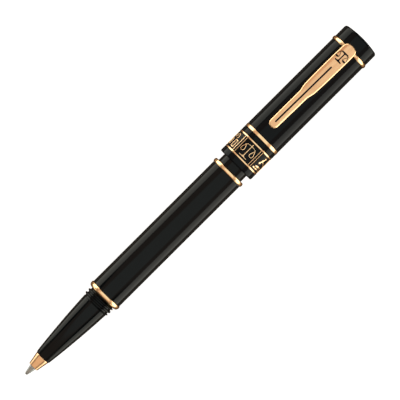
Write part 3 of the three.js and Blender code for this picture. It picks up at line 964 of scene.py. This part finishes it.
def barrel_bush():
    """The brass nut in the barrel's mouth."""
    low, high, r = span("barrel_bush")
    crest, root, ring_end = 4.75, 4.98, span("barrel_tube")[0]
    thread = screw_thread(low + 0.2, high - 0.2, root, crest, SECTION_PITCH, 0.4)
    piece = turned("barrel_bush_brass", [
        (low, root, 0.1), *even_steps(low + 0.2, high - 0.2, root, 0.07), (high, root, 0.1),
        (high, 5.4, 0.1), (ring_end, 5.4), (ring_end, r), (low, r, 0.1),
    ], BRASS, SIDES, thread)
    place(piece, "barrel", "barrel_bush")


def refill_spring():
    """A wire compression spring with closed ends, baked in place: it does not move with the refill."""
    low, high, outer = span("refill_spring")
    wire, turns, around, steps = 0.25, 6, 12, 48
    radius = outer - wire
    ease = 1.1 * 2 * wire / (high - low)
    count = turns * steps
    vertices = []
    for k in range(count + 1):
        t, end = k / count, 1 / turns
        if t < end:
            s = ease * t / end
        elif t > 1 - end:
            s = 1 - ease * (1 - t) / end
        else:
            s = ease + (1 - 2 * ease) * (t - end) / (1 - 2 * end)
        x = low + wire + (high - low - 2 * wire) * s
        a = 2 * math.pi * turns * t
        out = np.array([0, math.cos(a), math.sin(a)])
        for n in range(around):
            b = 2 * math.pi * n / around
            vertices.append((x + wire * math.sin(b), *(out * (radius + wire * math.cos(b)))[1:]))
    piece = mesh_object("refill_spring_wire", vertices, tube_faces(count + 1, around), STEEL)
    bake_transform(piece)
    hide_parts("refill_spring")


# ---------------- grip section


def grip_section():
    """The grip, with the cap's screw thread behind it and the bores for the nose and the refill."""
    low, high, _ = span("grip_section")
    nose_high = span("nose_cone")[1]
    thread_low, thread_high, root, crest = high - 3.83, high - 0.23, 5.13, 5.76
    rear_r, front_r = 5.28, 3.03
    rear_bore, bore, nose_bore, point_bore = 4.25, 3.3, 2.15, 1.55
    skin = []
    for k in range(29, -1, -1):
        t = k / 30
        r = rear_r - (rear_r - front_r) * (0.57 * t + 0.43 * t * t)
        skin.append((thread_low - (thread_low - low) * t, r))
    thread = screw_thread(thread_low, thread_high, root, crest, CAP_PITCH, 0.5, ahead=0.83)
    piece = turned("grip_section_resin", [
        (high, root - 0.12, 0.1), (high, rear_bore), (high - 6.05, rear_bore), (high - 6.25, bore),
        (low + 10.5, bore, 0.3), (low + 6.5, point_bore, 0.3), (nose_high + 0.1, point_bore),
        (nose_high + 0.1, nose_bore), (low, nose_bore, 0.05), (low, front_r - 0.05, 0.3),
        *skin, (thread_low + 0.05, root), *even_steps(thread_low + 0.1, thread_high, root, 0.075),
    ], BARREL_RESIN, SIDES, thread)
    place(piece, "section", "grip_section")


def nose_cone():
    """The gold cone, with the spigot that goes into the grip."""
    low, high, _ = span("nose_cone")
    shoulder = span("grip_section")[0] - 0.05
    rear, front, bore, spigot = 2.82, 1.95, 1.4, 2.1
    piece = turned("nose_cone_gold", [
        (low, bore, 0.1), (high, bore), (high, spigot, 0.1), (shoulder, spigot),
        (shoulder, rear, 0.14), (low, front, 0.16),
    ], NOSE_GOLD)
    place(piece, "section", "nose_cone")


def section_bush():
    """The brass screw that holds the grip in the barrel."""
    low, high, crest = span("section_bush")
    ring_end = span("barrel_front_ring")[0]
    root, bore, spigot = crest - 0.3, 3.35, 4.2
    thread = screw_thread(ring_end + 0.35, high - 0.2, root, crest, SECTION_PITCH, 0.35)
    piece = turned("section_bush_brass", [
        (high, bore, 0.1), (low, bore, 0.1), (low, spigot, 0.1), (ring_end, spigot),
        (ring_end, root + 0.1, 0.05),
        *even_steps(ring_end + 0.3, high - 0.3, root, 0.06), (high, root - 0.2, 0.1),
    ], BRASS, SIDES, thread)
    place(piece, "section", "section_bush")


# ---------------- refill


def refill_tube():
    """The metal ink tube, with a groove rolled round it near its rear end."""
    low, high, r = span("refill_tube")
    bore, groove = r - 0.35, r - 0.12
    piece = turned("refill_tube_steel", [
        (low, bore, 0.05), (high, bore, 0.05), (high, r, 0.08), (high - 1.2, r, 0.1),
        (high - 1.35, groove, 0.1), (high - 1.6, groove, 0.1), (high - 1.75, r, 0.1), (low, r, 0.08),
    ], STEEL, SMALL_SIDES)
    place(piece, "refill", "refill_tube")


def refill_plug():
    """The rear plug, with a neck in the tube and a dimple in its end."""
    low, high, r = span("refill_plug")
    neck, shoulder, floor = 2.7, high - 1.08, high - 0.5
    piece = turned("refill_plug_black", [
        (low, 0), (low, neck, 0.2), (shoulder, neck), (shoulder, r, 0.1), (high, r, 0.25),
        (high, 1.2, 0.1), (floor, 1.0, 0.1), (floor, 0),
    ], PLASTIC, SMALL_SIDES)
    place(piece, "refill", "refill_plug")


def refill_collar():
    """The front holder, which narrows from the tube to the point."""
    low, high, r = span("refill_collar")
    rear = span("refill_tube")[0] - 0.02
    bore, neck = 1.0, 2.7
    piece = turned("refill_collar_black", [
        (low, bore), (high, bore, 0.1), (high, neck, 0.2), (rear, neck), (rear, r, 0.06),
        (rear - 2.6, r, 0.2), (rear - 3.4, 2.8, 0.2), (low + 5.8, 1.3, 0.2), (low, 1.3, 0.1),
    ], PLASTIC, SMALL_SIDES)
    place(piece, "refill", "refill_collar")


def refill_point():
    """The metal point: a stem, a cone and the seat that its lip holds the ball in."""
    low, high, r = span("refill_point")
    ball_low, ball_high, _ = span("writing_ball")
    ball = (ball_low + ball_high) / 2
    bore, channel, stem, stem_end = 0.55, 0.2, 0.95, high - 5.1
    piece = turned("refill_point_steel", [
        (high, bore), (ball + 4.25, bore), (ball + 3.85, channel), (ball + 0.5, channel),
        (ball + 0.3, 0.39), (ball, 0.39), (low, 0.336), (low, 0.45, 0.03), (ball + 0.1, 0.58, 0.06),
        (ball + 3.0, 1.21, 0.2), (ball + 3.45, r, 0.2), (stem_end, r, 0.05), (stem_end, stem), (high, stem),
    ], POINT_STEEL, SMALL_SIDES)
    place(piece, "refill", "refill_point")


def fibre_rods():
    """The feed behind the point and the ink reservoir."""
    for node in ("refill_feed", "ink_reservoir"):
        low, high, r = span(node)
        outline = [(low, 0), (low, r, 0.12), (high, r, 0.12), (high, 0)]
        place(turned(f"{node}_fibre", outline, FIBRE, SMALL_SIDES), "refill", node)


def writing_ball():
    low, high, r = span("writing_ball")
    middle = (low + high) / 2
    arc = [(middle + r * math.cos(a), r * math.sin(a)) for a in np.linspace(0, math.pi, 25)[1:-1]]
    profile = [(middle + r, 0), *arc, (middle - r, 0)]
    piece = turned("writing_ball_polished", profile, POINT_STEEL, SMALL_SIDES)
    place(piece, "writing_ball", "writing_ball")


# ---------------- studio


CLIP_LEAN = math.radians(3.45)  # how far the clip is turned from facing the camera
PEN_TILT = math.radians(44.92)  # the pen's slope across the picture
CAMERA_AWAY = 900
CAMERA_OVER = 15  # the place along the pen that the camera is straight above
CAMERA_AIM_ALONG, CAMERA_AIM_ASIDE = 3.2, 0.1
FRAME_WIDE = 142.95  # how much of the pen's plane the picture takes in from side to side
LIGHT_AWAY = 1.2  # metres


def stand(name, data, right, up, back, spot):
    """Adds a camera or a light at a spot, facing away from back."""
    made = linked(name, data)
    made.matrix_world = Matrix((*((right[k], up[k], back[k], spot[k]) for k in range(3)), (0, 0, 0, 1)))
    return made


def camera():
    """Looks down on the pen, which crosses the frame from lower left to upper right."""
    data = bpy.data.cameras.new("camera")
    data.sensor_width = 36
    data.lens = data.sensor_width * CAMERA_AWAY / FRAME_WIDE
    data.clip_start, data.clip_end = 0.05, 50
    pen_way = Vector((1, 0, 0))
    lean = Vector((0, -math.sin(CLIP_LEAN), math.cos(CLIP_LEAN)))
    axis = Vector((0, 0, AXIS_Z))
    spot = axis + pen_way * CAMERA_OVER + lean * CAMERA_AWAY
    aim = axis + pen_way * CAMERA_AIM_ALONG + lean.cross(pen_way) * CAMERA_AIM_ASIDE
    back = (spot - aim).normalized()
    sideways = back.cross(pen_way).normalized()
    along = sideways.cross(back)
    right = along * math.cos(PEN_TILT) - sideways * math.sin(PEN_TILT)
    up = along * math.sin(PEN_TILT) + sideways * math.cos(PEN_TILT)
    bpy.context.scene.camera = stand("camera", data, right, up, back, spot * MM)


def softbox(name, start, end, radiance, colour, reach=(-1.6, 1.6)):
    """A long flat light beside the pen, between two angles round it.

    Angles are degrees from the camera's direction, towards the picture's upper left. The light reaches
    along the pen between two places, in metres, and gives the same radiance all over.
    """
    data = bpy.data.lights.new(name, "AREA")
    data.shape = "RECTANGLE"
    data.size = reach[1] - reach[0]
    data.size_y = 2 * LIGHT_AWAY * math.tan(math.radians(end - start) / 2)
    data.energy = radiance * math.pi * data.size * data.size_y
    data.color = colour
    turn = math.radians((start + end) / 2) - CLIP_LEAN
    pen_way = Vector((1, 0, 0))
    back = Vector((0, math.sin(turn), math.cos(turn)))
    spot = back * LIGHT_AWAY + pen_way * (reach[0] + reach[1]) / 2 + Vector((0, 0, AXIS_Z * MM))
    made = stand(name, data, pen_way, back.cross(pen_way), back, spot)
    made.visible_camera = False


def emitter(name, colour, strength, diffuse=(0, 0, 0)):
    """A material that shines evenly, and scatters light by its diffuse colour."""
    material = bpy.data.materials.new(name)
    material.use_nodes = True
    tree = material.node_tree
    shader = tree.nodes["Principled BSDF"]
    shader.inputs["Base Color"].default_value = (*diffuse, 1)
    shader.inputs["Roughness"].default_value = 1
    shader.inputs["Specular IOR Level"].default_value = 0
    shader.inputs["Emission Color"].default_value = (*colour, 1)
    shader.inputs["Emission Strength"].default_value = strength
    return material


def studio():
    """A pale floor under the pen, a white surround, a light overhead and a long soft box on each side."""
    scene = bpy.context.scene
    scene.view_settings.view_transform = "Standard"
    scene.view_settings.look = "None"
    world = bpy.data.worlds.new("studio")
    scene.world = world
    world.use_nodes = True
    world.node_tree.nodes["Background"].inputs["Color"].default_value = (1, 0.88, 0.74, 1)
    world.node_tree.nodes["Background"].inputs["Strength"].default_value = 0.08

    bpy.ops.mesh.primitive_circle_add(vertices=128, radius=2.5, fill_type="NGON", location=(0, 0, 0))
    floor = bpy.context.object
    floor.name = "floor"
    floor.data.materials.append(emitter("pale_floor", (1, 1, 1), 0.86, (0.45, 0.45, 0.45)))
    bpy.ops.mesh.primitive_uv_sphere_add(segments=64, ring_count=32, radius=2.6)
    surround = bpy.context.object
    surround.name = "surround"
    surround.data.materials.append(emitter("white_surround", (1, 1, 1), 1.0))
    for part in (floor, surround):
        part.visible_glossy = False
        part.visible_shadow = False
    surround.visible_diffuse = False

    strip, fill, rim = (1, 0.98, 0.86), (1, 0.75, 0.58), (1, 0.72, 0.48)
    over_nose = (-1.6, -0.4)
    over_rest = (-0.4, 1.6)
    softbox("fill", -66, 64, 0.70, fill, reach=over_rest)
    softbox("key", -44, 32, 0.60, (0.52, 0.92, 1.0), reach=over_rest)
    softbox("nose_fill", -50, 50, 0.78, fill, reach=over_nose)
    for side in (-1, 1):
        softbox("strip", *sorted((68 * side, 113 * side)), 2.8, strip, reach=over_rest)
        softbox("rim", *sorted((113 * side, 142 * side)), 0.18, rim)
        softbox("nose_side", *sorted((50 * side, 86 * side)), 0.34, fill, reach=over_nose)
        softbox("nose_strip", *sorted((86 * side, 113 * side)), 1.7, strip, reach=over_nose)


camera()
studio()

cap_finial()
finial_screw()
clip_ring()
cap_tube()
flat_band("cap_band_upper_gold", "cap_band_upper", GOLD, 0.2)
flat_band("cap_spacer_resin", "cap_spacer", RESIN, 0.1, 0.12)
for ring in ("band_ring_upper", "band_ring_lower"):
    flat_band(f"{ring}_gold", ring, GOLD, 0.26)
centre_band()
cap_lip()
cap_liner()
clip()
posting_ring()
barrel_tube()
barrel_rings()
barrel_tail()
barrel_bush()
refill_spring()
grip_section()
nose_cone()
section_bush()
refill_tube()
refill_plug()
refill_collar()
refill_point()
fibre_rods()
writing_ball()
